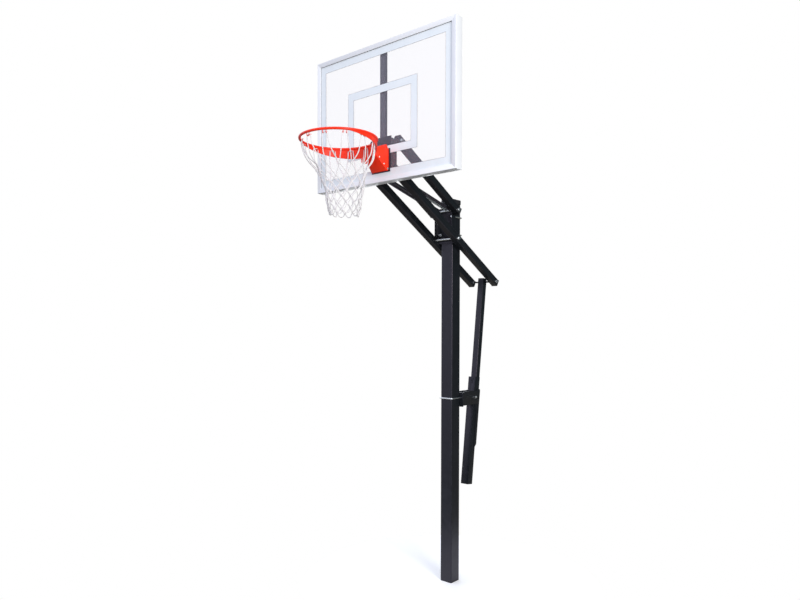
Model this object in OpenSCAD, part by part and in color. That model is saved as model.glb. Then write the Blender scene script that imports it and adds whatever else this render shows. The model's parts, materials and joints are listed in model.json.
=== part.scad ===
// Height-adjustable basketball hoop on a square in-ground post.
// Frame: origin at the centre of the post's foot at ground level, +Z up,
// +Y away from the court and +X to the right as seen from the court.

/* [Post] */
// Outside width of the square post
post_w = 101.6; // [90:0.2:115]
// Wall thickness of the post
post_wall = 3.2; // [2:0.1:5]
// Height of the post's open end above the ground
post_top = 2832; // [2800:1:2860]

/* [Board] */
// Width of the backboard over its frame
board_w = 1219.2; // [1100:0.2:1400]
// Height of the backboard over its frame
board_h = 914.4; // [850:0.2:1000]
// Depth of the frame rails, front to back
rail_depth = 63.5; // [60:0.5:65]
// Width of the frame's front lip
lip_w = 31; // [28:1:35]
// Thickness of the acrylic panel
panel_t = 7; // [6:0.5:7]
// Distance from the post's centre to the board's front face
board_reach = 775; // [774:0.5:776]
// Width of the printed border stripe
stripe_w = 50; // [40:1:60]
// Width of the target rectangle over its lines
target_w = 609.6; // [500:0.2:700]
// Height of the target rectangle over its lines
target_h = 457.2; // [400:0.2:480]
// Width of the target's line
target_line = 50.8; // [40:0.2:60]
// Distance from the board's top edge down to the target
target_drop = 278; // [260:1:290]

/* [Rim] */
// Height of the ring above the ground in its top setting
rim_height = 3048; // [3040:1:3060]
// Inside diameter of the ring
ring_inner = 457.2; // [450:0.2:465]
// Diameter of the ring's rod
ring_rod = 16; // [14:0.5:18]
// Distance from the board's face to the ring's centre
ring_reach = 381; // [375:1:390]
// Height of the ring above the board's bottom edge
ring_rise = 200; // [195:1:205]
// Number of net hooks
hook_count = 12; // [8:1:16]
// Length of the net below the ring
net_length = 470; // [430:5:500]

/* [Lift arms] */
// Side of the square arm tube
arm_w = 50; // [45:1:52]
// Wall thickness of the arm tube
arm_wall = 2.5; // [2:0.1:3.5]
// Distance between the inner faces of a pair of arms
arm_gap = 166; // [165:1:170]
// Length of the arms from the post pivot to the board pivot
front_arm = 730; // [728:1:732]
// Length of the lower arms behind the post pivot
rear_arm = 574; // [560:1:590]
// Angle of the arms above level, in degrees, in the top setting
lift_angle = 30; // [29.9:0.1:30.1]
// Height of the lower post pivot above the ground
lower_pivot_z = 2539; // [2535:1:2543]
// Distance between the lower and the upper pivots
pivot_spacing = 205; // [200:1:210]
// Distance of the post pivots in front of the post's centre
pivot_reach = 82; // [81:0.5:83]
// Radius of the four pivot axles
axle_r = 6.35; // [6:0.05:6.5]

/* [Height strut] */
// Side of the square strut tube
strut_w = 50; // [48:1:50]
// Width of the strut channel
channel_w = 64; // [63:0.5:65]
// Depth of the strut channel
channel_d = 60; // [58:1:60]
// Length of the channel above its pivot
channel_up = 156; // [140:1:160]
// Length of the channel below its pivot
channel_down = 670; // [650:1:680]
// Height of the strut's pivot above the ground
strut_pivot_z = 1357; // [1350:1:1365]
// Distance of the strut's pivot behind the post's centre
strut_pivot_y = 273.4; // [271:0.2:275]
// Distance from the strut's pivot back to the tube's centre line
tube_offset = 33; // [32.6:0.1:33.2]
// Length of the strut tube below its pivot, in the top setting
tube_down = 645; // [640:1:650]

/* [Springs] */
// Outside radius of the lift springs
spring_r = 11; // [9:0.5:11]
// Places of the springs across the arms
spring_x = [-64, -33, 33, 64];

/* [Hidden] */
$fn = 48;

black = [0.10, 0.10, 0.13];
zinc = [0.80, 0.82, 0.84];
white = [0.93, 0.94, 0.98];
rim_red = [0.93, 0.16, 0.06];
nylon = [0.22, 0.22, 0.24];

half_post = post_w / 2;
arm_x = arm_gap / 2 + arm_w / 2;
arm_out = arm_gap / 2 + arm_w;
arm_tip = 27;
upper_pivot_z = lower_pivot_z + pivot_spacing;
front_pivot_y = -pivot_reach - front_arm * cos(lift_angle);
front_rise = front_arm * sin(lift_angle);
front_lower_z = lower_pivot_z + front_rise;
front_upper_z = upper_pivot_z + front_rise;
rod_y = -pivot_reach + rear_arm * cos(lift_angle);
rod_z = lower_pivot_z - rear_arm * sin(lift_angle);

face_y = -board_reach;
board_bottom = rim_height - ring_rise;
board_top = board_bottom + board_h;
board_mid = (board_bottom + board_top) / 2;
panel_front = face_y + 8;
panel_back = panel_front + panel_t;
skin_t = 0.5;
plate_back = panel_front - skin_t;
plate_t = 5;
plate_front = plate_back - plate_t;
rim_mid_z = 2983;
rim_bolt_x = 58;
rim_bolt_z = 50.8;

ring_y = face_y - ring_reach;
ring_r = ring_inner / 2 + ring_rod / 2;
rim_pivot_y = plate_front - 8.5;
rim_pivot_z = 2924;
housing_back = plate_front - 0.5;
housing_top = rim_mid_z + 73;
band_t = 3.5;
band_low = 2978;

web_t = 4;
ear_x = 50;
ear_back = face_y + 106;
bracket_out = 80;
ubolt_r = 5;
ubolt_x = half_post + 6.2;
pivot_ubolt_z = [lower_pivot_z + 38.5, upper_pivot_z - 38.5];
adjuster_z = 1370;
clevis_x = 39.5;

// The strut's direction: the tube's centre line passes behind the pivot by tube_offset
strut_dy = rod_y - strut_pivot_y;
strut_dz = rod_z - strut_pivot_z;
strut_reach = sqrt(strut_dy * strut_dy + strut_dz * strut_dz);
strut_tilt = atan2(strut_dy, strut_dz) - asin(tube_offset / strut_reach);
rod_up = sqrt(strut_reach * strut_reach - tube_offset * tube_offset);
channel_front = -11.2;
channel_wall = 3;
tube_front = tube_offset - strut_w / 2;
tube_back = tube_offset + strut_w / 2;

// The springs run from the lower board axle to the upper post axle
spring_dy = front_pivot_y + pivot_reach;
spring_dz = front_lower_z - upper_pivot_z;
spring_len = sqrt(spring_dy * spring_dy + spring_dz * spring_dz);
spring_tilt = atan2(spring_dz, -spring_dy);
hook_r = 9.6;
hook_wire = 2;

// ---- Shared shapes ----

// A square tube's section with round corners, solid
module round_square(w, d, r) {
    square([w - 2 * r, d], center = true);
    square([w, d - 2 * r], center = true);
    for (x = [-1, 1], y = [-1, 1])
        translate([x * (w / 2 - r), y * (d / 2 - r)]) circle(r = r);
}

// A hollow square tube's section
module tube_section(w, d, wall, r) {
    difference() {
        round_square(w, d, r);
        round_square(w - 2 * wall, d - 2 * wall, r - wall);
    }
}

// A rod along X, centred
module x_rod(r, len) {
    rotate([0, 90, 0]) cylinder(r = r, h = len, center = true);
}

// A rod along X from x0 to x1
module x_span(r, x0, x1) {
    translate([x0, 0, 0]) rotate([0, 90, 0]) cylinder(r = r, h = x1 - x0);
}

// A hexagon head or nut along X from x0 to x1
module x_hex(r, x0, x1) {
    translate([x0, 0, 0]) rotate([0, 90, 0]) cylinder(r = r, h = x1 - x0, $fn = 6);
}

// A rod along Y from y0 to y1
module y_span(r, y0, y1) {
    translate([0, y1, 0]) rotate([90, 0, 0]) cylinder(r = r, h = y1 - y0);
}

// A hexagon along Y from y0 to y1
module y_hex(r, y0, y1) {
    translate([0, y1, 0]) rotate([90, 0, 0]) cylinder(r = r, h = y1 - y0, $fn = 6);
}

// Places its children in a frame at a pivot, with +Y along the rear of the arm
module at_arm(pivot_z) {
    translate([0, -pivot_reach, pivot_z]) rotate([-lift_angle, 0, 0]) children();
}

// Places its children in the strut's frame, with +Z up along the strut
module at_strut() {
    translate([0, strut_pivot_y, strut_pivot_z]) rotate([-strut_tilt, 0, 0]) children();
}

// A bolt with a head and a nut across the arms
module cross_axle() {
    x_rod(axle_r, 2 * arm_out + 20);
    for (s = [0, 180]) rotate([0, s, 0]) {
        x_span(13, arm_out + 0.5, arm_out + 2);
        x_hex(11, arm_out + 2, arm_out + 10);
    }
}

// A square U-bolt: two legs along Y joined behind by a straight bar
module u_bolt(leg_start) {
    back = half_post + 6.2;
    bend = 12;
    for (s = [-1, 1]) {
        translate([s * ubolt_x, 0, 0]) y_span(ubolt_r, leg_start, back - bend);
        translate([s * (ubolt_x - bend), back - bend, 0])
            rotate([0, 0, s > 0 ? 0 : 90])
                rotate_extrude(angle = 90) translate([bend, 0]) circle(r = ubolt_r);
    }
    translate([0, back, 0]) x_rod(ubolt_r, 2 * (ubolt_x - bend));
}

// A washer and a hexagon nut along Y, starting at y0 and pointing towards -Y
module y_nut(y0, bore) {
    difference() {
        union() {
            y_span(11, y0 - 2, y0);
            y_hex(9.5, y0 - 11, y0 - 2);
        }
        y_span(bore, y0 - 12, y0 + 1);
    }
}

// ---- Post ----

module post() {
    color(black) linear_extrude(post_top)
        tube_section(post_w, post_w, post_wall, 8);
}

module post_cap() {
    color([0.07, 0.07, 0.08]) {
        translate([0, 0, post_top]) linear_extrude(4)
            round_square(post_w + 7, post_w + 7, 10);
        translate([0, 0, post_top - 28]) linear_extrude(28) difference() {
            round_square(post_w + 7, post_w + 7, 10);
            round_square(post_w + 0.4, post_w + 0.4, 8.1);
        }
    }
}

module foot_plug() {
    inside = post_w - 2 * post_wall - 0.4;
    color([0.07, 0.07, 0.08]) {
        linear_extrude(4) round_square(inside, inside, 4.6);
        translate([0, 0, 4]) linear_extrude(30) tube_section(inside, inside, 3, 4.6);
    }
}

// ---- Pivot bracket on the post's front ----

module ear_outline(front, back, low, high, r) {
    difference() {
        translate([front, low]) square([back - front, high - low]);
        for (z = [low, high]) translate([front, z]) rotate(45) square(r, center = true);
    }
}

module pivot_bracket() {
    low = lower_pivot_z - 27;
    high = upper_pivot_z + 27;
    web_front = -half_post - web_t;
    color(black) difference() {
        union() {
            translate([-bracket_out, web_front, low])
                cube([2 * bracket_out, web_t, high - low]);
            for (s = [-1, 1])
                translate([s > 0 ? bracket_out - web_t : -bracket_out, 0, 0])
                    rotate([90, 0, 90]) linear_extrude(web_t)
                        ear_outline(-pivot_reach - 13, web_front + 1, low, high, 14);
        }
        for (z = [lower_pivot_z, upper_pivot_z])
            translate([0, -pivot_reach, z]) x_rod(axle_r, 2 * bracket_out + 10);
        for (s = [-1, 1], z = pivot_ubolt_z)
            translate([s * ubolt_x, 0, z]) y_span(ubolt_r + 0.4, web_front - 1, -half_post + 1);
    }
}

module pivot_u_bolts() {
    color(zinc) for (z = pivot_ubolt_z)
        translate([0, 0, z]) u_bolt(-half_post - web_t - 20);
}

module pivot_nuts() {
    color(zinc) for (s = [-1, 1], z = pivot_ubolt_z)
        translate([s * ubolt_x, 0, z]) y_nut(-half_post - web_t, ubolt_r);
}

module rear_axle(z) {
    color(zinc) translate([0, -pivot_reach, z]) cross_axle();
}

module rear_axle_lower() {
    rear_axle(lower_pivot_z);
}

module rear_axle_upper() {
    rear_axle(upper_pivot_z);
}

// ---- Adjuster bracket on the post's back ----

module adjuster_bracket() {
    low = adjuster_z - 67;
    high = adjuster_z + 38;
    base_y = half_post;
    ear_end = strut_pivot_y + 44;
    color(black) difference() {
        union() {
            translate([-bracket_out, base_y, low])
                cube([2 * bracket_out, web_t, high - low]);
            for (s = [-1, 1])
                translate([s > 0 ? clevis_x - web_t : -clevis_x, 0, 0])
                    rotate([90, 0, 90]) linear_extrude(web_t) difference() {
                        translate([base_y + 2, low]) square([ear_end - base_y - 2, high - low]);
                        for (z = [low, high]) translate([ear_end, z])
                            rotate(45) square(16, center = true);
                    }
        }
        translate([0, strut_pivot_y, strut_pivot_z]) x_rod(5, 2 * clevis_x + 10);
        for (s = [-1, 1]) translate([s * ubolt_x, 0, adjuster_z])
            y_span(ubolt_r + 0.4, base_y - 1, base_y + web_t + 1);
    }
}

module adjuster_u_bolt() {
    color(zinc) translate([0, 0, adjuster_z])
        rotate([0, 0, 180]) u_bolt(-half_post - web_t - 18);
}

module adjuster_nuts() {
    color(zinc) for (s = [-1, 1]) translate([s * ubolt_x, 0, adjuster_z])
        rotate([0, 0, 180]) y_nut(-half_post - web_t, ubolt_r);
}

module strut_pivot_bolt() {
    color(zinc) translate([0, strut_pivot_y, strut_pivot_z]) {
        x_rod(5, 2 * clevis_x + 22);
        for (s = [0, 180]) rotate([0, s, 0]) {
            x_span(10, clevis_x, clevis_x + 1.5);
            x_hex(8.5, clevis_x + 1.5, clevis_x + 8.5);
        }
    }
}

// ---- Lift arms ----

// An arm tube along Y, bored for the bushings at each place in bores
module arm_tube(side, y0, y1, bores) {
    translate([side * arm_x, 0, 0]) difference() {
        translate([0, y1, 0]) rotate([90, 0, 0]) linear_extrude(y1 - y0)
            tube_section(arm_w, arm_w, arm_wall, 5);
        for (y = bores) translate([0, y, 0]) x_rod(9, arm_w + 4);
    }
}

// A plug with chamfered sides for the end of an arm, facing +Y from y = 0
module end_plug(w, wall) {
    tip = w / 2 - 8;
    intersection() {
        translate([-w / 2, 0, 0]) rotate([90, 0, 90]) linear_extrude(w)
            polygon([[0, -w / 2], [6, -w / 2], [14, -tip], [14, tip], [6, w / 2], [0, w / 2]]);
        translate([0, 0, -w / 2]) linear_extrude(w)
            polygon([[-w / 2, 0], [-w / 2, 6], [-tip, 14], [tip, 14], [w / 2, 6], [w / 2, 0]]);
    }
    inner = w - 2 * wall - 0.4;
    rotate([90, 0, 0]) linear_extrude(9) tube_section(inner, inner, 2, 2.4);
}

// A flanged bushing through an arm, with its flange on the arm's inner face
module arm_bushing(side) {
    bore = axle_r + 0.06;
    rotate([0, side > 0 ? 0 : 180, 0]) difference() {
        union() {
            x_span(9, arm_gap / 2, arm_out);
            x_span(13, arm_gap / 2 - 2.4, arm_gap / 2);
        }
        x_span(bore, arm_gap / 2 - 4, arm_out + 2);
    }
}

module lower_arm(side) {
    color(black) at_arm(lower_pivot_z) difference() {
        arm_tube(side, -front_arm - arm_tip, rear_arm + 20, [-front_arm, 0]);
        translate([side * arm_x, rear_arm, 0]) x_rod(5, arm_w + 4);
    }
}

module lower_arm_left() {
    lower_arm(-1);
}

module lower_arm_right() {
    lower_arm(1);
}

module lower_arm_caps() {
    color(nylon) at_arm(lower_pivot_z) for (s = [-1, 1]) {
        translate([s * arm_x, rear_arm + 20, 0]) end_plug(arm_w, arm_wall);
    }
}

module lower_arm_bushings() {
    color(nylon) at_arm(lower_pivot_z) for (s = [-1, 1], y = [-front_arm, 0])
        translate([0, y, 0]) arm_bushing(s);
}

module strut_bolts() {
    color(zinc) at_arm(lower_pivot_z) translate([0, rear_arm, 0]) for (s = [0, 180])
        rotate([0, s, 0]) {
            x_span(5, arm_gap / 2 - 7, arm_out);
            x_hex(9.5, arm_gap / 2 - 7, arm_gap / 2);
            x_span(11, arm_out, arm_out + 1.5);
            x_hex(9.5, arm_out + 1.5, arm_out + 8.5);
        }
}

module upper_arm(side) {
    color(black) at_arm(upper_pivot_z)
        arm_tube(side, -front_arm - arm_tip, 20, [-front_arm, 0]);
}

module upper_arm_left() {
    upper_arm(-1);
}

module upper_arm_right() {
    upper_arm(1);
}

module upper_arm_caps() {
    color(nylon) at_arm(upper_pivot_z) for (s = [-1, 1])
        translate([s * arm_x, 20, 0]) end_plug(arm_w, arm_wall);
}

module upper_arm_bushings() {
    color(nylon) at_arm(upper_pivot_z) for (s = [-1, 1], y = [-front_arm, 0])
        translate([0, y, 0]) arm_bushing(s);
}

// ---- Board carriage ----

module front_axle(z) {
    color(zinc) translate([0, front_pivot_y, z]) cross_axle();
}

module front_axle_lower() {
    front_axle(front_lower_z);
}

module front_axle_upper() {
    front_axle(front_upper_z);
}

module front_spacers() {
    color(black) translate([0, front_pivot_y, front_upper_z]) for (s = [0, 180])
        rotate([0, s, 0]) difference() {
            x_span(21, ear_x, arm_gap / 2 - 3);
            x_span(axle_r, ear_x - 1, arm_gap / 2);
        }
}

// The holes for the rim's four bolts
module rim_bolt_holes(y0, y1) {
    for (s = [-1, 1], t = [-1, 1])
        translate([s * rim_bolt_x, 0, rim_mid_z + t * rim_bolt_z]) y_span(4.2, y0, y1);
}

module board_bracket() {
    low = board_bottom + 16;
    round_r = (ear_back - panel_back) / 2;
    high = front_upper_z + 33 - round_r;
    color(black) difference() {
        union() {
            translate([-bracket_out, panel_back, low])
                cube([2 * bracket_out, web_t, high + round_r - low]);
            for (s = [-1, 1]) translate([s > 0 ? ear_x - web_t : -ear_x, 0, 0])
                rotate([90, 0, 90]) linear_extrude(web_t) {
                    translate([panel_back + 1, low + 6]) square([2 * round_r - 1, high - low - 6]);
                    translate([panel_back + round_r, high]) circle(r = round_r);
                }
        }
        for (z = [front_lower_z, front_upper_z])
            translate([0, front_pivot_y, z]) x_rod(axle_r, 2 * ear_x + 10);
        rim_bolt_holes(panel_back - 1, panel_back + web_t + 1);
    }
}

mast_y0 = panel_back + web_t;
mast_w = 46;
mast_d = 25;
mast_top = board_top - 32;

module center_mast() {
    color(black) difference() {
        translate([0, mast_y0 + mast_d / 2, board_bottom + 34])
            linear_extrude(mast_top - board_bottom - 34)
                tube_section(mast_w, mast_d, 2.5, 4);
        for (z = [board_bottom + 100, front_upper_z - 30, mast_top - 12])
            translate([0, 0, z]) y_span(4, mast_y0 - 1, mast_y0 + mast_d + 1);
    }
}

module mast_bolts() {
    color(zinc) for (z = [board_bottom + 100, front_upper_z - 30])
        translate([0, 0, z]) {
            y_span(4, mast_y0, mast_y0 + mast_d);
            y_hex(7.2, mast_y0 + mast_d, mast_y0 + mast_d + 5);
        }
    color(zinc) translate([0, 0, mast_top - 12]) {
        y_span(4, mast_y0, mast_y0 + mast_d);
        y_hex(7.2, mast_y0 + mast_d, mast_y0 + mast_d + 5);
    }
}

// Section of a frame rail: x runs inwards from the outer edge, y runs back from the face
module rail_section() {
    edge = 2;
    // rounded front lip
    translate([edge, 0]) square([lip_w - edge, 2.5]);
    translate([0, edge]) square([edge, rail_depth - edge]);
    translate([edge, edge]) circle(r = edge);
    translate([0, edge]) square([2.5, rail_depth - edge]);
    // inner return of the lip down to the panel
    translate([lip_w - 1.5, 0]) square([1.5, panel_front - face_y]);
    // ledge behind the panel
    translate([1, panel_back - face_y]) square([14, 3]);
    // back flange
    translate([1, rail_depth - 2.5]) square([19, 2.5]);
}

// A rail along X for the bottom edge, mitred at both ends; turn it for the other edges
module rail(len) {
    intersection() {
        translate([-len / 2, 0, 0]) rotate([90, 0, 90]) linear_extrude(len)
            mirror([1, -1]) rail_section_flat();
        translate([0, rail_depth + 1, 0]) rotate([90, 0, 0]) linear_extrude(rail_depth + 2)
            polygon([[-len / 2, 0], [len / 2, 0], [len / 2 - 40, 40], [-len / 2 + 40, 40]]);
    }
}

// The section with depth along x and the inward direction along y
module rail_section_flat() {
    rail_section();
}

module frame_bottom() {
    color(white) translate([0, face_y, board_bottom]) rail(board_w);
}

module frame_top() {
    color(white) translate([0, face_y, board_top]) rotate([0, 180, 0]) rail(board_w);
}

module frame_left() {
    color(white) translate([-board_w / 2, face_y, board_mid]) rotate([0, 90, 0]) rail(board_h);
}

module frame_right() {
    color(white) translate([board_w / 2, face_y, board_mid]) rotate([0, -90, 0]) rail(board_h);
}

module backboard_panel() {
    inset = 3;
    color([0.85, 0.92, 0.95, 0.3]) difference() {
        translate([-board_w / 2 + inset, panel_front, board_bottom + inset])
            cube([board_w - 2 * inset, panel_t, board_h - 2 * inset]);
        rim_bolt_holes(panel_front - 1, panel_back + 1);
    }
}

// A flat rectangular frame of thin paint on the panel's front
module painted_frame(w, h, line) {
    rotate([90, 0, 0]) linear_extrude(skin_t) difference() {
        square([w, h], center = true);
        square([w - 2 * line, h - 2 * line], center = true);
    }
}

module border_stripe() {
    color(white) difference() {
        translate([0, panel_front, board_mid])
            painted_frame(board_w - 2 * lip_w, board_h - 2 * lip_w, stripe_w);
        rim_bolt_holes(plate_back - 1, panel_front + 1);
    }
}

module target_rectangle() {
    color(white) difference() {
        translate([0, panel_front, board_top - target_drop - target_h / 2])
            painted_frame(target_w, target_h, target_line);
        rim_bolt_holes(plate_back - 1, panel_front + 1);
    }
}

module rim_mount_plate() {
    color([0.14, 0.12, 0.14]) difference() {
        union() {
            translate([-bracket_out, plate_front, rim_mid_z - 75])
                cube([2 * bracket_out, plate_t, 150]);
            for (s = [-1, 1]) translate([s * 32 - 3, 0, 0]) rotate([90, 0, 90])
                linear_extrude(6) {
                    translate([rim_pivot_y, rim_pivot_z - 7.5])
                        square([plate_front - rim_pivot_y + 1, 15]);
                    translate([rim_pivot_y, rim_pivot_z]) circle(r = 7.5);
                }
        }
        translate([0, rim_pivot_y, rim_pivot_z]) x_rod(4.06, 120);
        rim_bolt_holes(plate_front - 1, plate_back + 1);
    }
}

module rim_bolts() {
    color(zinc) for (s = [-1, 1], t = [-1, 1])
        translate([s * rim_bolt_x, 0, rim_mid_z + t * rim_bolt_z]) {
            y_span(4, plate_front, panel_back + web_t + 8);
            y_hex(7.2, plate_front - 5, plate_front);
            y_hex(7.2, panel_back + web_t, panel_back + web_t + 6);
        }
}

// ---- Rim ----

module ring_shape() {
    translate([0, ring_y, rim_height]) rotate_extrude($fn = 96)
        translate([ring_r, 0]) circle(r = ring_rod / 2);
}

module rim_ring() {
    color(rim_red) ring_shape();
}

module brace_band(low, height) {
    translate([0, ring_y, low]) rotate_extrude($fn = 96)
        translate([ring_r - band_t / 2, 0]) square([band_t, height]);
}

module brace_sides(front, back, top_z) {
    intersection() {
        brace_band(rim_height - 80, 78);
        translate([-ring_r - 20, 0, 0]) rotate([90, 0, 90]) linear_extrude(2 * ring_r + 40)
            polygon([[front, top_z], [back, top_z], [back, band_low], [front, top_z - 6]]);
    }
}

// Band under the ring, cut by a tilted plane so that it is deepest at the back, with a rounded tongue there
module rim_brace() {
    front = ring_y - 113;
    back = ring_y + ring_r + 4;
    top_z = rim_height - 2;
    tongue_low = rim_height - 108;
    color(rim_red) difference() {
        union() {
            brace_sides(front, back, top_z);
            intersection() {
                brace_band(tongue_low, band_low + 10 - tongue_low);
                translate([0, back + 6, 0]) rotate([90, 0, 0]) linear_extrude(60) {
                    translate([-30, tongue_low + 20]) square([60, 60]);
                    translate([-10, tongue_low]) square([20, 80]);
                    for (s = [-10, 10]) translate([s, tongue_low + 20]) circle(r = 20);
                }
            }
        }
        ring_shape();
    }
}
// The sheet-metal wedge's side view: open at its back, with its lower edge bent forward
module wedge_side() {
    polygon([[housing_back, housing_top], [-850, housing_top], [-882, rim_height - 40],
             [rim_pivot_y - 4, rim_pivot_z - 12], [rim_pivot_y + 2, rim_pivot_z - 11],
             [rim_pivot_y + 7, rim_pivot_z - 5], [housing_back, rim_pivot_z + 3]]);
}

// The hollow inside the wedge, one sheet thickness in from its top, front and lower faces
module wedge_hollow_side() {
    t = 3;
    polygon([[housing_back + 5, housing_top - t], [-850 + 0.536 * t, housing_top - t],
             [-882 + 1.289 * t, rim_height - 40 + 0.131 * t],
             [rim_pivot_y - 4 + 0.703 * t + 10, rim_pivot_z - 12 + 0.711 * t - 9.89],
             [housing_back + 5, rim_pivot_z - 20]]);
}

// The wedge's plan, narrower by t on each side
module wedge_plan(t) {
    wide = 70 - t;
    narrow = 49 - t;
    polygon([[-wide, housing_back + 6], [wide, housing_back + 6], [wide, housing_back],
             [narrow, housing_back - 113], [-narrow, housing_back - 113], [-wide, housing_back]]);
}

module wedge() {
    intersection() {
        translate([-90, 0, 0]) rotate([90, 0, 90]) linear_extrude(180) wedge_side();
        translate([0, 0, 2880]) linear_extrude(240) wedge_plan(0);
    }
}

module rim_housing() {
    color(rim_red) difference() {
        union() {
            wedge();
            translate([0, housing_back, 0]) rotate([90, 0, 0]) linear_extrude(3)
                polygon([[-66, housing_top - 1.5], [66, housing_top - 1.5], [60, housing_top + 11],
                         [52, housing_top + 30], [-52, housing_top + 30], [-60, housing_top + 11]]);
        }
        intersection() {
            translate([-90, 0, 0]) rotate([90, 0, 90]) linear_extrude(180) wedge_hollow_side();
            translate([0, 0, 2880]) linear_extrude(240) wedge_plan(3);
        }
        translate([0, rim_pivot_y, rim_pivot_z]) x_rod(4, 180);
    }
}

// Plates that join the ring and its brace to the wedge
module rim_gusset() {
    color(rim_red) difference() {
        union() {
            translate([0, 0, rim_height - 4]) linear_extrude(7) difference() {
                translate([-52, ring_y + 150]) square([104, housing_back - 74 - ring_y - 150]);
                translate([0, ring_y]) circle(r = ring_r - 2, $fn = 96);
            }
            for (s = [-1, 1]) translate([s > 0 ? 40 : -45, 0, 0])
                rotate([90, 0, 90]) linear_extrude(5) difference() {
                    translate([ring_y + 200, rim_height - 58]) square([110, 56]);
                }
        }
        translate([0, ring_y, rim_height - 100])
            cylinder(r = ring_r + band_t / 2, h = 96, $fn = 96);
        ring_shape();
        wedge();
    }
}

// Two rivets on each side wall, square to the wall
module rim_rivets() {
    slope = 21 / 113;
    color(zinc) for (s = [-1, 1], p = [[-846, 2991], [-808, 2953]])
        translate([s * (70 - slope * (housing_back - p[0])), p[0], p[1]])
            rotate([0, 0, s > 0 ? -atan(slope) : 180 + atan(slope)]) {
                x_span(5, 0, 1.6);
                x_span(3.4, 1.6, 2.8);
            }
}

module rim_hinge_pin() {
    color(zinc) translate([0, rim_pivot_y, rim_pivot_z]) {
        x_rod(4, 140);
        for (s = [0, 180]) rotate([0, s, 0]) x_span(7, 70, 72.5);
    }
}

// A bolt from the mounting plate, a seat inside the wedge and the spring between them
spring_bolt_z = 3024;
seat_front = rim_pivot_y - 12;
bolt_head_y = plate_front - 62;

module rim_spring_bolt() {
    color(zinc) translate([0, 0, spring_bolt_z]) {
        y_span(4, bolt_head_y - 6, plate_front);
        y_span(9, bolt_head_y - 2, bolt_head_y);
        y_hex(8, bolt_head_y - 7, bolt_head_y - 2);
    }
}

module rim_spring_seat() {
    inner = 67 - 21 / 113 * (housing_back - seat_front) - 0.1;
    color(rim_red) difference() {
        translate([-inner, seat_front, spring_bolt_z - 16]) cube([2 * inner, 4, 40]);
        for (z = [0, 7]) translate([0, 0, spring_bolt_z + z])
            y_span(5.5, seat_front - 1, seat_front + 5);
        translate([-5.5, seat_front - 1, spring_bolt_z]) cube([11, 6, 7]);
    }
}

module rim_spring() {
    color(zinc) translate([0, 0, spring_bolt_z]) difference() {
        y_span(11.5, bolt_head_y, seat_front);
        y_span(8, bolt_head_y - 1, seat_front + 1);
    }
}

// A pair of J hooks welded under the ring, open towards its middle
module net_hook() {
    wire = 2.1;
    bend = 7;
    for (s = [-1, 1]) translate([0, s * 11, -15]) {
        rotate([90, 0, 0]) rotate([0, 0, 180]) rotate_extrude(angle = 180) translate([bend, 0]) circle(r = wire);
        translate([bend, 0, 0]) cylinder(r = wire, h = 9.5);
        translate([-bend, 0, 0]) cylinder(r = wire, h = 3);
    }
}

module net_hooks() {
    color(rim_red) translate([0, ring_y, rim_height])
        for (k = [0 : hook_count - 1]) rotate([0, 0, k * 360 / hook_count - 4.5])
            translate([ring_r - 11.4, 0, 0]) net_hook();
}

// Half profile of the net as [radius, depth below the ring] at its outer side
net_outline = [[231, 26], [224, 70], [205, 125], [162, 188], [134, 252], [113, 350], [93, net_length]];

module net() {
    thick = 5;
    inner = [for (k = [len(net_outline) - 1 : -1 : 0]) [net_outline[k][0] - thick, -net_outline[k][1]]];
    outer = [for (p = net_outline) [p[0], -p[1]]];
    color([0.95, 0.95, 0.96]) translate([0, ring_y, rim_height])
        rotate_extrude($fn = 72) polygon(concat(outer, inner));
}

// ---- Height strut ----

module strut_channel() {
    color(black) at_strut() difference() {
        translate([0, 0, -channel_down]) linear_extrude(channel_down + channel_up) difference() {
            translate([-channel_w / 2, channel_front]) square([channel_w, channel_d]);
            translate([-channel_w / 2 + channel_wall, channel_front + channel_wall])
                square([channel_w - 2 * channel_wall, channel_d]);
        }
        x_rod(7.1, channel_w + 4);
        translate([0, 0, channel_up - 40]) y_span(4, channel_front - 1, channel_front + 4);
    }
}

module strut_guides() {
    side_x = strut_w / 2 + 0.3;
    wall_x = channel_w / 2 - channel_wall;
    pad_y = channel_front + channel_wall;
    color(nylon) at_strut() translate([0, 0, channel_up - 60]) {
        for (s = [-1, 1]) translate([s > 0 ? side_x : -wall_x, tube_front, 0])
            cube([wall_x - side_x, channel_front + channel_d - tube_front, 50]);
        translate([-18, pad_y, 0]) cube([36, tube_front - 0.3 - pad_y, 50]);
    }
}

// Pads at the tube's lower end that slide in the channel
module tube_slider() {
    wall_x = channel_w / 2 - channel_wall - 0.3;
    pad_y = channel_front + channel_wall + 0.3;
    color(nylon) at_strut() translate([0, 0, -tube_down]) {
        for (s = [-1, 1]) translate([s > 0 ? strut_w / 2 : -wall_x, tube_front + 5, 0])
            cube([wall_x - strut_w / 2, 33, 40]);
        translate([-18, pad_y, 0]) cube([36, tube_front - pad_y, 20]);
    }
}

module channel_screw() {
    color(black) at_strut() translate([0, 0, channel_up - 40]) {
        y_span(4, channel_front, channel_front + channel_wall);
        y_span(6.5, channel_front - 3, channel_front);
    }
}

module strut_tube() {
    color(black) at_strut() difference() {
        translate([0, tube_offset, -tube_down]) linear_extrude(rod_up + tube_down + 22)
            tube_section(strut_w, strut_w, 2.5, 5);
        translate([0, tube_offset, rod_up]) x_rod(6.35, strut_w + 4);
    }
}

module strut_tube_caps() {
    inner = strut_w - 5.4;
    color(nylon) at_strut() translate([0, tube_offset, 0]) {
        translate([0, 0, rod_up + 22]) linear_extrude(6) round_square(strut_w, strut_w, 5);
        translate([0, 0, -tube_down - 5]) linear_extrude(5) round_square(strut_w, strut_w, 5);
        translate([0, 0, -tube_down]) linear_extrude(15) tube_section(inner, inner, 2, 2.3);
    }
}

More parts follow.
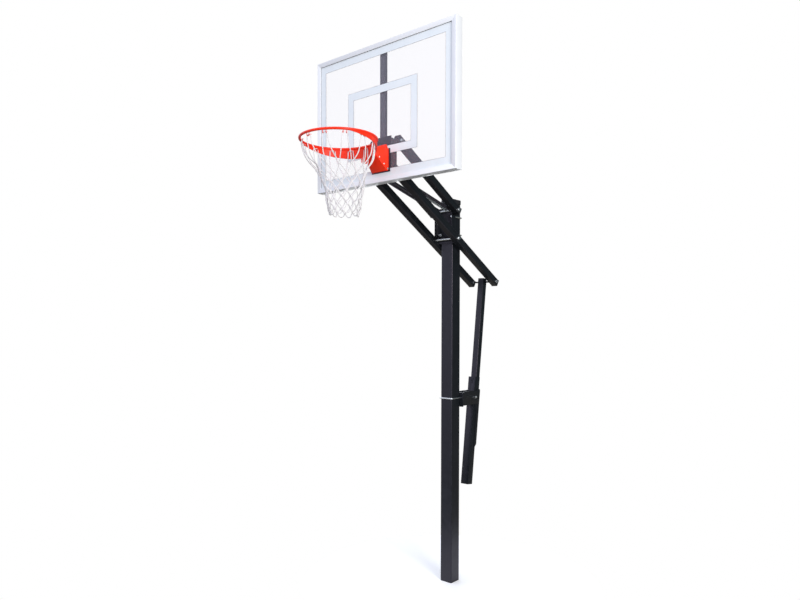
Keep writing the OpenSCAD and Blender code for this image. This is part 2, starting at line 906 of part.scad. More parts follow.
module strut_cross_rod() {
    reach = arm_gap / 2 - 7.8;
    color(black) at_strut() translate([0, tube_offset, rod_up]) {
        x_rod(6.35, 2 * reach);
        for (s = [0, 180]) rotate([0, s, 0]) x_hex(10, strut_w / 2, strut_w / 2 + 9);
    }
}

// ---- Release lever behind the strut ----

lever_in = channel_w / 2 + 0.5;
lever_out = lever_in + 2.5;
lever_back = tube_back + 3.5;
lever_low = -388;
lever_high = 64;

module release_lever() {
    web_top = -26;
    color(black) at_strut() difference() {
        union() {
            for (s = [-1, 1]) translate([s > 0 ? lever_in : -lever_out, 0, 0])
                rotate([90, 0, 90]) linear_extrude(lever_out - lever_in)
                    polygon([[tube_offset - 12, lever_high], [lever_back - 8, lever_high],
                             [lever_back, lever_high - 8], [lever_back, lever_low + 26],
                             [lever_back - 20, lever_low], [34, lever_low + 4],
                             [26, -120], [-9, -30], [-9, 14]]);
            translate([-lever_out, lever_back - 2.5, lever_low + 26])
                cube([2 * lever_out, 2.5, web_top - lever_low - 26]);
        }
        x_rod(7, 2 * lever_out + 4);
    }
}

module lock_cam() {
    color(zinc) at_strut() difference() {
        union() {
            x_rod(7, 2 * lever_out);
            translate([-22, -5, 0]) cube([44, 10, 13]);
        }
        x_rod(5.05, 2 * lever_out + 4);
    }
}

// ---- Lift springs ----

// Places its children at the upper post axle, with +Y along the springs towards the board
module at_springs() {
    translate([0, -pivot_reach, upper_pivot_z]) rotate([180 - spring_tilt, 0, 0]) children();
}

module lift_springs() {
    start = 20;
    color([0.35, 0.34, 0.38]) at_springs() for (x = spring_x) translate([x, 0, 0])
        y_span(spring_r, start, spring_len - start);
}

// The wire eye that goes round an axle, with a short shank towards the coil
module spring_eye() {
    rotate([0, 90, 0]) rotate_extrude() translate([hook_r, 0]) circle(r = hook_wire);
    y_span(hook_wire, hook_r, 20);
}

module spring_rear_hooks() {
    color(zinc) at_springs() for (x = spring_x) translate([x, 0, 0]) spring_eye();
}

module spring_front_hooks() {
    color(zinc) at_springs() for (x = spring_x) translate([x, spring_len, 0])
        rotate([0, 0, 180]) spring_eye();
}

post();
post_cap();
foot_plug();
pivot_bracket();
pivot_u_bolts();
pivot_nuts();
rear_axle_lower();
rear_axle_upper();
adjuster_bracket();
adjuster_u_bolt();
adjuster_nuts();
strut_pivot_bolt();
lower_arm_left();
lower_arm_right();
lower_arm_caps();
lower_arm_bushings();
strut_bolts();
upper_arm_left();
upper_arm_right();
upper_arm_caps();
upper_arm_bushings();
front_axle_lower();
front_axle_upper();
front_spacers();
board_bracket();
center_mast();
mast_bolts();
frame_top();
frame_bottom();
frame_left();
frame_right();
backboard_panel();
border_stripe();
target_rectangle();
rim_mount_plate();
rim_bolts();
rim_ring();
rim_brace();
rim_gusset();
rim_housing();
rim_rivets();
rim_hinge_pin();
rim_spring_bolt();
rim_spring_seat();
rim_spring();
net_hooks();
net();
strut_channel();
strut_guides();
channel_screw();
strut_tube();
strut_tube_caps();
tube_slider();
strut_cross_rod();
release_lever();
lock_cam();
lift_springs();
spring_rear_hooks();
spring_front_hooks();
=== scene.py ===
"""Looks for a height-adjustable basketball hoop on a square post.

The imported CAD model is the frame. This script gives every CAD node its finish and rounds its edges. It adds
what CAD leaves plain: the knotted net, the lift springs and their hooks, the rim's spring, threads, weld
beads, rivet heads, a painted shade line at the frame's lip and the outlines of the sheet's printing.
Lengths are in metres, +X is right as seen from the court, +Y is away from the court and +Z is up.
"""

import json
import math
import random

import bmesh
import bpy
from mathutils import Matrix, Vector

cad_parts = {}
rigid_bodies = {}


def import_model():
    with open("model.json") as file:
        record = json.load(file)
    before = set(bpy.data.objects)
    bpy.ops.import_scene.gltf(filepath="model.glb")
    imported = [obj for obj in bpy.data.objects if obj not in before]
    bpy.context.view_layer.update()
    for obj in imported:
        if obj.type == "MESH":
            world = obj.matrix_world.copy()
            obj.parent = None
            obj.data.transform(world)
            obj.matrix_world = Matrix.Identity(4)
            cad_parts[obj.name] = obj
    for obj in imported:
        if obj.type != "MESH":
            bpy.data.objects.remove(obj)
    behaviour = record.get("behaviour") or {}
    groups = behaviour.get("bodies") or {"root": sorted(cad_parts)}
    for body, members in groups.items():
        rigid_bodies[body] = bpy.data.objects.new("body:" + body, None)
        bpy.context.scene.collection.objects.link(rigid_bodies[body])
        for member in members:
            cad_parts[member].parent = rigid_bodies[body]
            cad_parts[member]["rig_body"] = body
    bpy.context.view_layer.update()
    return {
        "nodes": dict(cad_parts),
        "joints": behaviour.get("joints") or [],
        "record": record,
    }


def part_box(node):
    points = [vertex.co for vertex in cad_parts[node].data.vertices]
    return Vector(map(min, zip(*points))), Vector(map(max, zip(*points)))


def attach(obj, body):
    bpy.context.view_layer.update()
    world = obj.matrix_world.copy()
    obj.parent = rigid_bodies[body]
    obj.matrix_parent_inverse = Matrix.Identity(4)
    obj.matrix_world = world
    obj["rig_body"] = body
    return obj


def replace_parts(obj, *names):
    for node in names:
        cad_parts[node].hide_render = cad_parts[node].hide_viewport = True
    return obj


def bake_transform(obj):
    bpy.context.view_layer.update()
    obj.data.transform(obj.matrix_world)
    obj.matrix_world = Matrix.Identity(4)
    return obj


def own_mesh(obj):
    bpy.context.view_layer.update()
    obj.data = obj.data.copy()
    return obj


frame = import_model()
joints = {j["name"]: j for j in frame["joints"]}
random.seed(7)

X, Y, Z = Vector((1, 0, 0)), Vector((0, 1, 0)), Vector((0, 0, 1))

# CAD vertices closer than this are one vertex
MERGE_DISTANCE = 2e-5


# ---- Camera ----

def make_camera():
    """A camera 5 m away to the front right, at about head height."""
    place = (3.0473, -4.0922, 1.897)
    azimuth, elevation, roll = 0.71394, -0.0208, 0.00198
    forward = Vector((
        -math.sin(azimuth) * math.cos(elevation),
        math.cos(azimuth) * math.cos(elevation),
        math.sin(elevation),
    ))
    right = forward.cross(Z).normalized()
    up = right.cross(forward)
    data = bpy.data.cameras.new("camera")
    data.sensor_width = 36
    data.lens = 30.73
    data.shift_y = 0.0515
    data.clip_end = 60
    camera = bpy.data.objects.new("camera", data)
    turn = Matrix((right, up, -forward)).transposed().to_4x4()
    camera.matrix_world = Matrix.Translation(place) @ turn @ Matrix.Rotation(roll, 4, "Z")
    bpy.context.scene.collection.objects.link(camera)
    bpy.context.scene.camera = camera


# ---- Materials ----

def add_node(tree, kind, inputs=None, **settings):
    """A new shader node, with settings on the node and values or links on its inputs."""
    node = tree.nodes.new("ShaderNode" + kind)
    for key, value in settings.items():
        setattr(node, key, value)
    for key, value in (inputs or {}).items():
        if isinstance(value, bpy.types.NodeSocket):
            tree.links.new(value, node.inputs[key])
        else:
            node.inputs[key].default_value = value
    return node


class Material:
    """A material with one Principled shader, and short calls to build its nodes."""

    def __init__(self, name, **sockets):
        self.material = bpy.data.materials.new(name)
        self.material.use_nodes = True
        self.tree = self.material.node_tree
        self.shader = self.tree.nodes["Principled BSDF"]
        for socket, value in sockets.items():
            self.shader.inputs[socket.replace("_", " ").title().replace("Ior", "IOR")].default_value = value

    def node(self, kind, inputs=None, **settings):
        return add_node(self.tree, kind, inputs, **settings)

    def link(self, output, socket):
        self.tree.links.new(output, self.shader.inputs[socket])

    def place(self):
        return self.node("TexCoord").outputs["Object"]

    def noise(self, scale, detail=3.0):
        """A noise from 0 to 1, in blobs of about 1 / scale metres."""
        node = self.node("TexNoise", {"Vector": self.place(), "Scale": scale, "Detail": detail})
        return node.outputs["Fac"]

    def spread(self, value, low, high, start=0.3, end=0.7):
        """value from start to end becomes low to high."""
        node = self.node("MapRange", {"Value": value, "From Min": start, "From Max": end,
                                      "To Min": low, "To Max": high})
        return node.outputs["Result"]

    def blend(self, factor, first, second):
        """A colour between two."""
        return self.node("Mix", {0: factor, 6: (*first, 1), 7: (*second, 1)}, data_type="RGBA").outputs[2]

    def bump(self, height, depth, strength=1.0):
        node = self.node("Bump", {"Height": height, "Distance": depth, "Strength": strength})
        self.link(node.outputs["Normal"], "Normal")


def powder_coat(name, color, shade, roughness, gloss=0.5, tint=(1, 1, 1, 1)):
    """Sprayed and baked paint: orange peel about 2 mm across, with faint handling marks."""
    m = Material(name, specular_tint=tint, specular_ior_level=gloss)
    m.link(m.blend(m.spread(m.noise(9), 0, 1), color, shade), "Base Color")
    m.link(m.spread(m.noise(28, 5), roughness - 0.06, roughness + 0.08), "Roughness")
    m.bump(m.noise(420, 2), 0.0002, 0.5)
    return m.material


def zinc_plate(name, color, shade, roughness):
    """Bright zinc: pale metal with soft cloudy grains and a fine drawn texture."""
    m = Material(name, metallic=1.0)
    grains = m.node("TexVoronoi", {"Vector": m.place(), "Scale": 260.0}).outputs["Distance"]
    m.link(m.blend(m.spread(m.noise(45, 4), 0, 1), color, shade), "Base Color")
    m.link(m.spread(grains, roughness - 0.05, roughness + 0.1, 0, 1), "Roughness")
    m.bump(m.noise(900, 3), 0.0001, 0.35)
    return m.material


def moulded_plastic(name, color, roughness):
    """Moulded plastic with a fine spark-eroded grain."""
    m = Material(name)
    m.link(m.blend(m.spread(m.noise(20), 0, 1), color, [c * 1.35 for c in color]), "Base Color")
    m.link(m.spread(m.noise(150, 4), roughness - 0.05, roughness + 0.08), "Roughness")
    m.bump(m.noise(1400, 2), 0.00015, 0.5)
    return m.material


def clear_acrylic(name):
    """A clear sheet: see-through face on, and mirror-like at a low angle, with a faint milky tint."""
    m = Material(name, roughness=0.04, ior=1.49)
    m.link(m.blend(m.spread(m.noise(3), 0, 1), (0.88, 0.85, 1.0), (0.84, 0.81, 0.97)), "Base Color")
    edge = m.node("LayerWeight", {"Blend": 0.5}).outputs["Facing"]
    m.link(m.spread(edge, 0.09, 0.9, 0.45, 1.0), "Alpha")
    return m.material


def printed_white(name):
    """Screen-printed lines: flat white with a slight blue cast and tiny pinholes."""
    m = Material(name)
    m.link(m.blend(m.spread(m.noise(12), 0, 1), (0.79, 0.85, 0.89), (0.83, 0.88, 0.91)), "Base Color")
    m.link(m.spread(m.noise(60, 4), 0.28, 0.4), "Roughness")
    m.bump(m.noise(700, 2), 0.00005, 0.3)
    return m.material


def braided_cord(name):
    """Braided cord: two sets of yarns crossing round it. Its UVs run along it, in metres, and round it."""
    m = Material(name, roughness=0.75, sheen_weight=0.25, sheen_roughness=0.5)

    def maths(operation, first, second=0.0):
        return m.node("Math", {0: first, 1: second}, operation=operation).outputs[0]

    crossings_per_metre, yarns_round = 240.0, 3.0
    uv = m.node("SeparateXYZ", {"Vector": m.node("TexCoord").outputs["UV"]})
    along = maths("MULTIPLY", uv.outputs["X"], crossings_per_metre)
    around = maths("MULTIPLY", uv.outputs["Y"], yarns_round)
    waves = [maths("SINE", maths("MULTIPLY", maths(way, along, around), math.tau))
             for way in ("ADD", "SUBTRACT")]
    yarn = maths("MAXIMUM", *waves)
    # Painted shade: the colour is darker in the grooves between the yarns, where the bump is low
    m.link(m.blend(m.spread(yarn, 0, 1, 0, 1), (0.76, 0.72, 0.74), (0.98, 0.97, 0.97)), "Base Color")
    m.bump(yarn, 0.0006, 0.8)
    return m.material


def make_materials():
    """One material for each of the record's slots."""
    return {
        "black_powder_coat": powder_coat("black_powder_coat", (0.005, 0.0075, 0.009), (0.007, 0.010, 0.012),
                                         0.36, gloss=0.42, tint=(0.95, 0.82, 1.0, 1)),
        "dark_plate": powder_coat("dark_plate", (0.03, 0.012, 0.026), (0.04, 0.016, 0.034), 0.4),
        "white_powder_coat": powder_coat("white_powder_coat", (0.83, 0.85, 0.89), (0.86, 0.88, 0.91), 0.36),
        "rim_orange": powder_coat("rim_orange", (0.94, 0.030, 0.006), (0.97, 0.038, 0.008), 0.38, gloss=0.3),
        "black_plastic": moulded_plastic("black_plastic", (0.012, 0.012, 0.014), 0.5),
        "nylon": moulded_plastic("nylon", (0.05, 0.05, 0.055), 0.42),
        "zinc_plated": zinc_plate("zinc_plated", (0.90, 0.94, 0.93), (0.78, 0.82, 0.82), 0.26),
        "spring_steel": zinc_plate("spring_steel", (0.24, 0.23, 0.27), (0.17, 0.16, 0.19), 0.32),
        "clear_acrylic": clear_acrylic("clear_acrylic"),
        "white_print": printed_white("white_print"),
        "net_cord": braided_cord("net_cord"),
    }


# ---- Mesh helpers ----

def piece(name, bm, slot, body, smooth_angle=40):
    """Turns a bmesh into a piece that rides on a body and takes its material from a slot."""
    mesh = bpy.data.meshes.new(name)
    bm.to_mesh(mesh)
    bm.free()
    mesh.materials.append(materials[slot])
    mesh.shade_smooth()
    mesh.set_sharp_from_angle(angle=math.radians(smooth_angle))
    obj = bpy.data.objects.new(name, mesh)
    bpy.context.scene.collection.objects.link(obj)
    if body:
        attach(obj, body)
    return obj


def circle(bm, centre, side, up, radius, sides):
    """A ring of vertices round centre, in the plane of side and up."""
    return [bm.verts.new(centre + (side * math.cos(a) + up * math.sin(a)) * radius)
            for a in (math.tau * k / sides for k in range(sides))]


def sweep(bm, points, radius, sides=8):
    """Adds a round tube along points. radius is a number, or one for each point.

    Its UVs run along it, in metres, and once round it.
    """
    points = [Vector(p) for p in points]
    count = len(points)
    radii = radius if isinstance(radius, (list, tuple)) else [radius] * count
    layer = bm.loops.layers.uv.verify()
    rings, lengths, travelled, side = [], [], 0.0, None
    for i, p in enumerate(points):
        ahead = (points[min(i + 1, count - 1)] - points[max(i - 1, 0)]).normalized()
        if side is None:
            side = ahead.orthogonal().normalized()
        side = (side - ahead * side.dot(ahead)).normalized()
        if i:
            travelled += (p - points[i - 1]).length
        lengths.append(travelled)
        rings.append(circle(bm, p, side, ahead.cross(side), radii[i], sides))
    for first, second, start, end in zip(rings, rings[1:], lengths, lengths[1:]):
        for k in range(sides):
            face = bm.faces.new((first[k], first[(k + 1) % sides], second[(k + 1) % sides], second[k]))
            for loop, uv in zip(face.loops, ((start, k), (start, k + 1), (end, k + 1), (end, k))):
                loop[layer].uv = (uv[0], uv[1] / sides)
    bm.faces.new(reversed(rings[0]))
    bm.faces.new(rings[-1])


def lathe(bm, centre, axis, profile, sides=20):
    """Adds a solid turned round an axis. profile holds distances along it and radii, and ends on the axis."""
    axis = Vector(axis).normalized()
    side = axis.orthogonal().normalized()
    up = axis.cross(side)
    rings = [circle(bm, centre + axis * along, side, up, radius, sides) for along, radius in profile[:-1]]
    tip = bm.verts.new(centre + axis * profile[-1][0])
    for first, second in zip(rings, rings[1:]):
        for k in range(sides):
            n = (k + 1) % sides
            bm.faces.new((first[k], first[n], second[n], second[k]))
    for k in range(sides):
        bm.faces.new((rings[-1][k], rings[-1][(k + 1) % sides], tip))
    bm.faces.new(reversed(rings[0]))


def smooth_path(points, steps):
    """Points on a smooth curve through the given ones."""
    points = [Vector(p) for p in points]
    padded = [points[0] * 2 - points[1]] + points + [points[-1] * 2 - points[-2]]
    path = []
    for a, b, c, d in zip(padded, padded[1:], padded[2:], padded[3:]):
        for k in range(steps):
            t = k / steps
            path.append(0.5 * (2 * b + (c - a) * t + (2 * a - 5 * b + 4 * c - d) * t ** 2
                               + (3 * b - a - 3 * c + d) * t ** 3))
    return path + [points[-1]]


# ---- Finishes on the CAD nodes ----

def finish_nodes():
    """Gives each CAD node the material of its slot in the record."""
    for sub in frame["record"]["subparts"]:
        mesh = frame["nodes"][sub["node"]].data
        mesh.materials.clear()
        mesh.materials.append(materials[sub["material_slot"]])


def soften(node, width):
    """A copy of a CAD node with its sharp edges rounded stands for it."""
    flat_angle, sharp_angle = math.radians(0.6), math.radians(32)
    source = frame["nodes"][node]
    bm = bmesh.new()
    bm.from_mesh(source.data)
    bmesh.ops.remove_doubles(bm, verts=bm.verts, dist=MERGE_DISTANCE)
    bmesh.ops.dissolve_limit(bm, angle_limit=flat_angle, verts=bm.verts, edges=bm.edges)
    sharp = [e for e in bm.edges if len(e.link_faces) == 2 and e.calc_face_angle() > sharp_angle]
    bmesh.ops.bevel(bm, geom=sharp, offset=width, offset_type="OFFSET", segments=2, profile=0.5,
                    affect="EDGES", clamp_overlap=True)
    slot = next(s["material_slot"] for s in frame["record"]["subparts"] if s["node"] == node)
    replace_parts(piece(node + "_finished", bm, slot, source["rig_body"], 30), node)


# ---- Net ----

# Rows of knots from the ring down: drop below the ring's centre line, and distance from its axis
NET_ROWS = [(0.182, 0.160), (0.238, 0.135), (0.286, 0.121), (0.328, 0.113), (0.368, 0.107), (0.404, 0.101),
            (0.438, 0.095)]
# The lower loops' tips, and the place where the top loops lie in the hooks, in the same measures
NET_BOTTOM = (0.474, 0.088)
HOOK_SEAT = (0.0168, 0.2252)
# How far the net's lower end hangs to one side
NET_DRIFT = Vector((0.022, 0.028, 0))
CORD_R = 0.0030
STRING_BOW = 0.004
HOOKS = 12
# The distance between the two hooks of a pair, and the first pair's angle from +X
HOOK_GAP = 0.022
HOOK_TURN = math.radians(-4.5)


def ring_centre():
    low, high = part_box("rim_ring")
    return (low + high) / 2


def outward(point):
    """The level direction from the ring's axis to a point."""
    axis = ring_centre()
    return Vector((point.x - axis.x, point.y - axis.y, 0)).normalized()


def net_point(step, drop, radius, across=0.0):
    """A point of the net. step counts hooks round the ring, and across is a shift along the ring."""
    drift_start, drift_length = 0.02, 0.3
    angle = math.tau * step / HOOKS + HOOK_TURN
    out = Vector((math.cos(angle), math.sin(angle), 0))
    fall = min(1, max(0, (drop - drift_start) / drift_length))
    return (ring_centre() + out * radius + Vector((-out.y, out.x, 0)) * across - Z * drop
            + NET_DRIFT * (fall * fall * (3 - 2 * fall)))


def net_knots():
    """The knots of each row, half a step apart from row to row, with the small uneven shifts of a hung net."""
    rows = []
    for row, (drop, radius) in enumerate(NET_ROWS):
        rows.append([
            net_point(k + 0.5 * ((row + 1) % 2) + random.uniform(-0.08, 0.08),
                      drop + random.uniform(-0.008, 0.008), radius * random.uniform(0.96, 1.04))
            for k in range(HOOKS)
        ])
    return rows


def add_string(bm, start, end):
    """A string between two knots, bowed a little outwards from the net's axis."""
    middle = (start + end) / 2
    sweep(bm, smooth_path([start, middle + outward(middle) * STRING_BOW, end], 4), CORD_R)


def add_knot(bm, centre):
    """A tight knot: the cord wrapped twice round itself."""
    half_width, half_depth, rise, turns, steps = 0.0046, 0.0038, 0.005, 2, 12
    out = outward(centre)
    across = out.cross(Z)
    path = []
    for k in range(turns * steps + 1):
        a = math.tau * k / steps
        path.append(centre + across * (half_width * math.cos(a)) + out * (half_depth * math.sin(a))
                    + Z * (rise * (k / steps - 1)))
    sweep(bm, path, CORD_R * 0.9)


def add_top_loop(bm, step, left, right):
    """The long loop that lies in a pair of hooks, with one end down to the knot on each side."""
    drop, radius = HOOK_SEAT
    # One half of it: distance across from the pair's middle, drop, and distance from the ring's axis
    half = [(HOOK_GAP / 2, drop, radius), (HOOK_GAP / 2 + 0.0055, drop + 0.008, radius + 0.0005),
            (HOOK_GAP / 2 + 0.0085, 0.060, 0.2225), (0.029, 0.122, 0.203)]
    path = [left] + [net_point(step, d, r, -x) for x, d, r in reversed(half)]
    path += [net_point(step, d, r, x) for x, d, r in half] + [right]
    sweep(bm, smooth_path(path, 5), CORD_R)


def make_net():
    bm = bmesh.new()
    rows = net_knots()
    for k in range(HOOKS):
        add_top_loop(bm, k, rows[0][k - 1], rows[0][k])
    for row, (upper, lower) in enumerate(zip(rows, rows[1:])):
        shift = 1 if row % 2 == 0 else -1
        for k in range(HOOKS):
            add_string(bm, upper[k], lower[k])
            add_string(bm, upper[k], lower[(k + shift) % HOOKS])
    drop, radius = NET_BOTTOM
    sag = Z * 0.007
    for k in range(HOOKS):
        a, b = rows[-1][k], rows[-1][(k + 1) % HOOKS]
        bottom = net_point(k + 0.5 * (len(rows) % 2) + 0.5 + random.uniform(-0.12, 0.12),
                           drop - random.uniform(0, 0.02), radius)
        path = [a, a.lerp(bottom, 0.55) - sag, bottom, b.lerp(bottom, 0.55) - sag, b]
        sweep(bm, smooth_path(path, 4), CORD_R)
    for row in rows:
        for knot in row:
            add_knot(bm, knot)
    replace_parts(piece("knotted_net", bm, "net_cord", "rim", 60), "net")


# ---- Springs ----

SPRING_X = (-0.064, -0.033, 0.033, 0.064)
COIL_R, COIL_WIRE = 0.0094, 0.0016
EYE_R = 0.0096
# The hook's length between the axle's centre and the coil
SHANK = 0.02


def make_coils(rear, along, length):
    """Four extension coils, each running between its two end hooks."""
    turns, steps, held_end = 148, 12, 0.004
    up = X.cross(along)
    for number, x in enumerate(SPRING_X):
        centre = rear + X * x
        bm = bmesh.new()
        path = []
        for k in range(turns * steps + 1):
            a = math.tau * k / steps
            path.append(centre + along * (SHANK + (length - 2 * SHANK) * k / (turns * steps))
                        + (X * math.cos(a) + up * math.sin(a)) * COIL_R)
        sweep(bm, path, COIL_WIRE, 6)
        slot = "zinc_plated" if number == 2 else "spring_steel"
        coil = piece(f"lift_spring_{number + 1}", bm, slot, None, 60)
        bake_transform(coil)
        if number == 0:
            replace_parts(coil, "lift_springs")


def make_spring_hooks(node, body, middle, way):
    """Wire eyes round an axle at middle, with shanks that run along way to the coils."""
    opening, steps = 25, 24
    bm = bmesh.new()
    side = X.cross(way)
    for x in SPRING_X:
        eye = middle + X * x
        path = []
        for k in range(steps + 1):
            a = math.radians(opening + (360 - 2 * opening) * k / steps)
            path.append(eye + (way * math.cos(a) + side * math.sin(a)) * EYE_R)
        # The shank runs back past the eye's opening and ends inside the coil
        path += [eye + way * 0.0135 - side * 0.001, eye + way * (SHANK - 0.001) + side * 0.004 + X * 0.003,
                 eye + way * (SHANK + 0.004) + side * COIL_R * 0.7 + X * COIL_R * 0.7]
        sweep(bm, smooth_path(path, 2), COIL_WIRE, 6)
    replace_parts(piece(node + "_wire", bm, "spring_steel", body, 60), node)


def make_springs():
    rear = Vector(joints["spring_swing"]["pos_m"])
    along = Vector(joints["spring_stretch"]["axis"])
    length = (Vector(joints["board_pivot"]["pos_m"]) - rear).length
    make_coils(rear, along, length)
    make_spring_hooks("spring_rear_hooks", "springs_rear", rear, along)
    make_spring_hooks("spring_front_hooks", "springs_front", rear + along * length, -along)


def make_rim_spring():
    """The breakaway spring: a closed and ground compression coil."""
    low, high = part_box("rim_spring")
    centre = (low + high) / 2
    wire, turns, steps, kept_length = 0.0014, 4, 20, 0.24
    length, radius = high.y - low.y - 2 * wire, (high.x - low.x) / 2 - wire
    bm = bmesh.new()
    path = []
    for k in range(turns * steps + 1):
        a = math.tau * k / steps
        # The first and last turns lie flat
        climb = min(1, max(0, (k / steps - 1) / (turns - 2)))
        lift = 0.6 * wire if 0 < climb < 1 else 0
        path.append(Vector((centre.x + math.cos(a) * radius, low.y + wire + length * climb + lift,
                            centre.z + math.sin(a) * radius)))
    sweep(bm, path, wire)
    coil = piece("rim_spring_coil", bm, "spring_steel", "board", 60)
    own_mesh(coil)
    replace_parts(coil, "rim_spring")


# ---- Painted shade line and outlines on the sheet ----

# The widths of the printed border and of the target's lines
BORDER_STRIPE = 0.050
TARGET_LINE = 0.0508
# The radius of the dark bead of painted shade at the frame's lip, and of the printed keylines
SHADE_LINE_R = 0.0012
KEYLINE_R = 0.0007


def add_outline(bm, node, inset, y, radius):
    """A thin bead round a printed node's outline, or round its opening when inset is the line's width."""
    low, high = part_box(node)
    left, right, bottom, top = low.x + inset, high.x - inset, low.z + inset, high.z - inset
    corners = [Vector((x, y, z)) for x, z in ((left, bottom), (right, bottom), (right, top), (left, top))]
    for a, b in zip(corners, corners[1:] + corners[:1]):
        sweep(bm, [a, b], radius)


def make_outlines():
    """A dark bead of painted shade in the step between the frame's lip and the sheet, and the grey keylines of
    the printing.
    """
    offset = 0.0004
    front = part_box("border_stripe")[0].y
    bm = bmesh.new()
    # A dark bead along the stripe's outer edge is painted shade: the shadow in the step under the frame's lip
    add_outline(bm, "border_stripe", 0, front - offset, SHADE_LINE_R)
    piece("painted_shade_line", bm, "dark_plate", "board", 60)
    bm = bmesh.new()
    for node, inset in (("border_stripe", BORDER_STRIPE), ("target_rectangle", 0),
                        ("target_rectangle", TARGET_LINE)):
        add_outline(bm, node, inset, front + offset, KEYLINE_R)
    piece("printed_keylines", bm, "dark_plate", "board", 60)


# ---- Threads, welds and rivets ----

# A U-bolt's legs: distance from the post's middle plane, rod radius, and where the nuts' outer faces are
U_BOLT_X = 0.057
U_BOLT_R = 0.005
NUT_FACE = 0.0662


def add_thread(bm, start, end):
    """A helical ridge round the end of a U-bolt's leg."""
    pitch, steps, ridge = 0.0015, 14, 0.00045
    along = (end - start).normalized()
    side = along.orthogonal().normalized()
    up = along.cross(side)
    path = []
    for k in range(int((end - start).length / pitch * steps)):
        a = math.tau * k / steps
        path.append(start + along * (pitch * k / steps) + (side * math.cos(a) + up * math.sin(a)) * U_BOLT_R)
    sweep(bm, path, ridge, 4)


def make_threads():
    bm = bmesh.new()
    low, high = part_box("pivot_u_bolts")
    for x in (-U_BOLT_X, U_BOLT_X):
        for z in (low.z + U_BOLT_R, high.z - U_BOLT_R):
            add_thread(bm, Vector((x, -NUT_FACE, z)), Vector((x, -0.0744, z)))
    low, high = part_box("adjuster_u_bolt")
    middle = (low.z + high.z) / 2
    for x in (-U_BOLT_X, U_BOLT_X):
        add_thread(bm, Vector((x, NUT_FACE, middle)), Vector((x, 0.0724, middle)))
    piece("u_bolt_threads", bm, "zinc_plated", "post")


def add_weld(bm, points, radius=0.003):
    """A lumpy bead along points."""
    ripple = 0.0018
    path = []
    for a, b in zip(points, points[1:]):
        a, b = Vector(a), Vector(b)
        count = max(2, int((b - a).length / ripple))
        path += [a.lerp(b, k / count) for k in range(count)]
    radii = [radius * (0.82 + 0.18 * math.sin(k * 1.6) + random.uniform(-0.04, 0.04))
             for k in range(len(path))]
    radii[0] = radii[-1] = radius * 0.4
    sweep(bm, path, radii, 6)


def add_bracket_welds(name, body, x, y, bottom, top):
    """A pair of upright welds in the corners of a U-shaped bracket, at x on either side."""
    bm = bmesh.new()
    for side in (-x, x):
        add_weld(bm, [(side, y, bottom), (side, y, top)])
    piece(name, bm, "black_powder_coat", body, 60)


def make_welds():
    low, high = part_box("adjuster_bracket")
    add_bracket_welds("adjuster_welds", "post", 0.0395, 0.0552, low.z + 0.008, high.z - 0.008)
    low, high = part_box("board_bracket")
    add_bracket_welds("board_bracket_welds", "board", 0.0502, low.y + 0.0044, low.z + 0.01, high.z - 0.03)
    bm = bmesh.new()
    radius, drop, points = 0.2405, 0.0072, 40
    for side in (-1, 1):
        arc = []
        for k in range(points):
            a = math.radians(90 - side * (12 + 62 * k / (points - 1)))
            arc.append(ring_centre() + Vector((math.cos(a) * radius, math.sin(a) * radius, -drop)))
        add_weld(bm, arc, 0.0022)
    piece("rim_welds", bm, "rim_orange", "rim", 60)


def islands(node):
    """The centre of each separate solid of a CAD node."""
    bm = bmesh.new()
    bm.from_mesh(frame["nodes"][node].data)
    bmesh.ops.remove_doubles(bm, verts=bm.verts, dist=MERGE_DISTANCE)
    left, found = set(bm.verts), []
    while left:
        group, todo = set(), [left.pop()]
        while todo:
            v = todo.pop()
            group.add(v)
            for e in v.link_edges:
                other = e.other_vert(v)
                if other in left:
                    left.remove(other)
                    todo.append(other)
        low = Vector(min(v.co[i] for v in group) for i in range(3))
        high = Vector(max(v.co[i] for v in group) for i in range(3))
        found.append((low + high) / 2)
    bm.free()
    return found


def make_rivets():
    """Domed rivet heads on the housing's slanted side walls."""
    bm = bmesh.new()
    dome = [(-0.0014, 0.0052), (-0.0004, 0.0052), (0.0006, 0.0046), (0.0012, 0.0036), (0.0016, 0.0018),
            (0.0017, 0)]
    for centre in islands("rim_rivets"):
        lathe(bm, centre, (math.copysign(0.983, centre.x), -0.183, 0), dome)
    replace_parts(piece("rim_rivet_domes", bm, "zinc_plated", "rim", 40), "rim_rivets")


# ---- Stage and light ----

def make_stage():
    bm = bmesh.new()
    bmesh.ops.create_circle(bm, cap_ends=True, segments=96, radius=1.1)
    mesh = bpy.data.meshes.new("floor")
    bm.to_mesh(mesh)
    bm.free()
    m = Material("floor", roughness=0.9, emission_color=(1, 1, 1, 1), emission_strength=0.22)
    m.link(m.blend(m.spread(m.noise(2), 0, 1), (0.93, 0.93, 0.93), (0.95, 0.95, 0.95)), "Base Color")
    mesh.materials.append(m.material)
    floor = bpy.data.objects.new("floor", mesh)
    floor.location.z = -0.0005
    bpy.context.scene.collection.objects.link(floor)


def add_area(name, place, target, size, power, color):
    data = bpy.data.lights.new(name, "AREA")
    data.size = size
    data.energy = power
    data.color = color
    light = bpy.data.objects.new(name, data)
    light.location = place
    light.rotation_euler = (Vector(target) - Vector(place)).to_track_quat("-Z", "Y").to_euler()
    light.visible_camera = False
    bpy.context.scene.collection.objects.link(light)


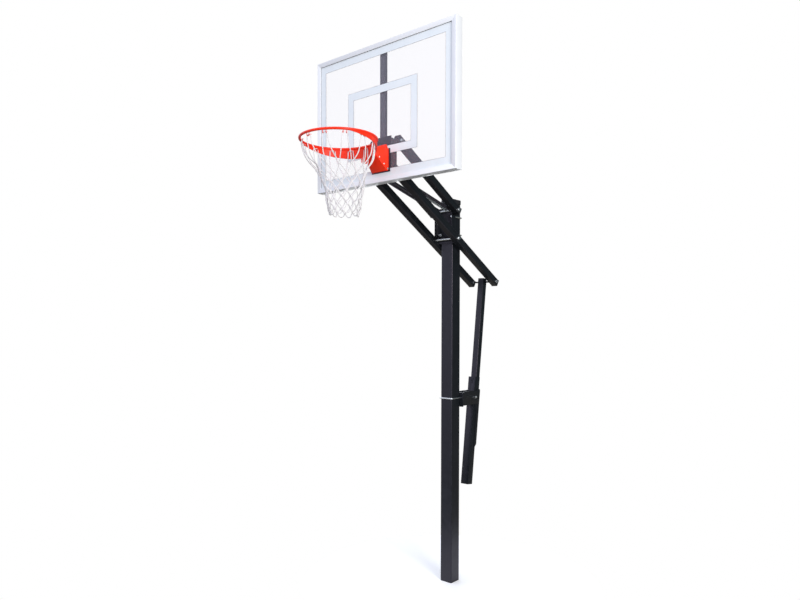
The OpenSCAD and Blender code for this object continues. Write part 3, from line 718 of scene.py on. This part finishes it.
def make_light():
    """A studio: bright and slightly lavender in front, dim behind, with a key light from the right."""
    world = bpy.data.worlds.new("studio")
    bpy.context.scene.world = world
    world.use_nodes = True
    tree = world.node_tree

    def node(kind, inputs=None, **settings):
        return add_node(tree, kind, inputs, **settings)

    dim, bright, under = (0.08, 0.10, 0.11, 1), (1.04, 1.08, 1.26, 1), (0.20, 0.19, 0.17, 1)
    way = node("TexCoord").outputs["Generated"]
    facing = node("VectorMath", {0: way, 1: (-0.6, -0.8, 0.1)}, operation="DOT_PRODUCT").outputs["Value"]
    front = node("MapRange", {"Value": facing, "From Min": -0.7, "From Max": 0.7},
                 interpolation_type="SMOOTHSTEP")
    sides = node("Mix", {0: front.outputs["Result"], 6: dim, 7: bright}, data_type="RGBA")
    height = node("SeparateXYZ", {"Vector": way}).outputs["Z"]
    below = node("MapRange", {"Value": height, "From Min": 0.0, "From Max": -0.22})
    all_round = node("Mix", {0: below.outputs["Result"], 6: sides.outputs[2], 7: under}, data_type="RGBA")
    lit = node("Background", {"Color": all_round.outputs[2], "Strength": 1.0})
    seen = node("Background", {"Color": (1, 1, 1, 1), "Strength": 1.0})
    camera_ray = node("LightPath").outputs["Is Camera Ray"]
    mix = node("MixShader", {0: camera_ray, 1: lit.outputs[0], 2: seen.outputs[0]})
    tree.links.new(mix.outputs[0], tree.nodes["World Output"].inputs["Surface"])
    add_area("key", (6.2, -3.2, 3.3), (0, -0.5, 2.4), 2.5, 400, (1.0, 0.99, 0.97))
    add_area("fill", (-4.5, 5.0, 3.6), (0, 0, 2.2), 3.0, 130, (0.9, 0.95, 1.0))
    view = bpy.context.scene.view_settings
    view.view_transform = "Standard"
    view.look = "None"


# The width of the rounding on each CAD node with sharp edges
SOFTENED = {
    "post_cap": 0.003, "pivot_bracket": 0.0008, "adjuster_bracket": 0.0008, "board_bracket": 0.0008,
    "pivot_nuts": 0.0007, "adjuster_nuts": 0.0007, "rear_axle_lower": 0.0008, "rear_axle_upper": 0.0008,
    "strut_pivot_bolt": 0.0007, "lower_arm_left": 0.0006, "lower_arm_right": 0.0006, "lower_arm_caps": 0.0015,
    "upper_arm_left": 0.0006, "upper_arm_right": 0.0006, "upper_arm_caps": 0.0015, "strut_bolts": 0.0008,
    "front_axle_lower": 0.0008, "front_axle_upper": 0.0008, "front_spacers": 0.001, "center_mast": 0.0006,
    "mast_bolts": 0.0006,
    "frame_top": 0.0007, "frame_bottom": 0.0007, "frame_left": 0.0007, "frame_right": 0.0007,
    "rim_mount_plate": 0.0008, "rim_bolts": 0.0006, "rim_housing": 0.0012, "rim_gusset": 0.001,
    "strut_channel": 0.0008, "strut_guides": 0.0008, "strut_tube": 0.0006, "strut_tube_caps": 0.001,
    "strut_cross_rod": 0.0008, "release_lever": 0.0008, "lock_cam": 0.0005,
}

make_camera()
materials = make_materials()
finish_nodes()
for node, width in SOFTENED.items():
    soften(node, width)
make_net()
make_springs()
make_rim_spring()
make_outlines()
make_threads()
make_welds()
make_rivets()
make_stage()
make_light()
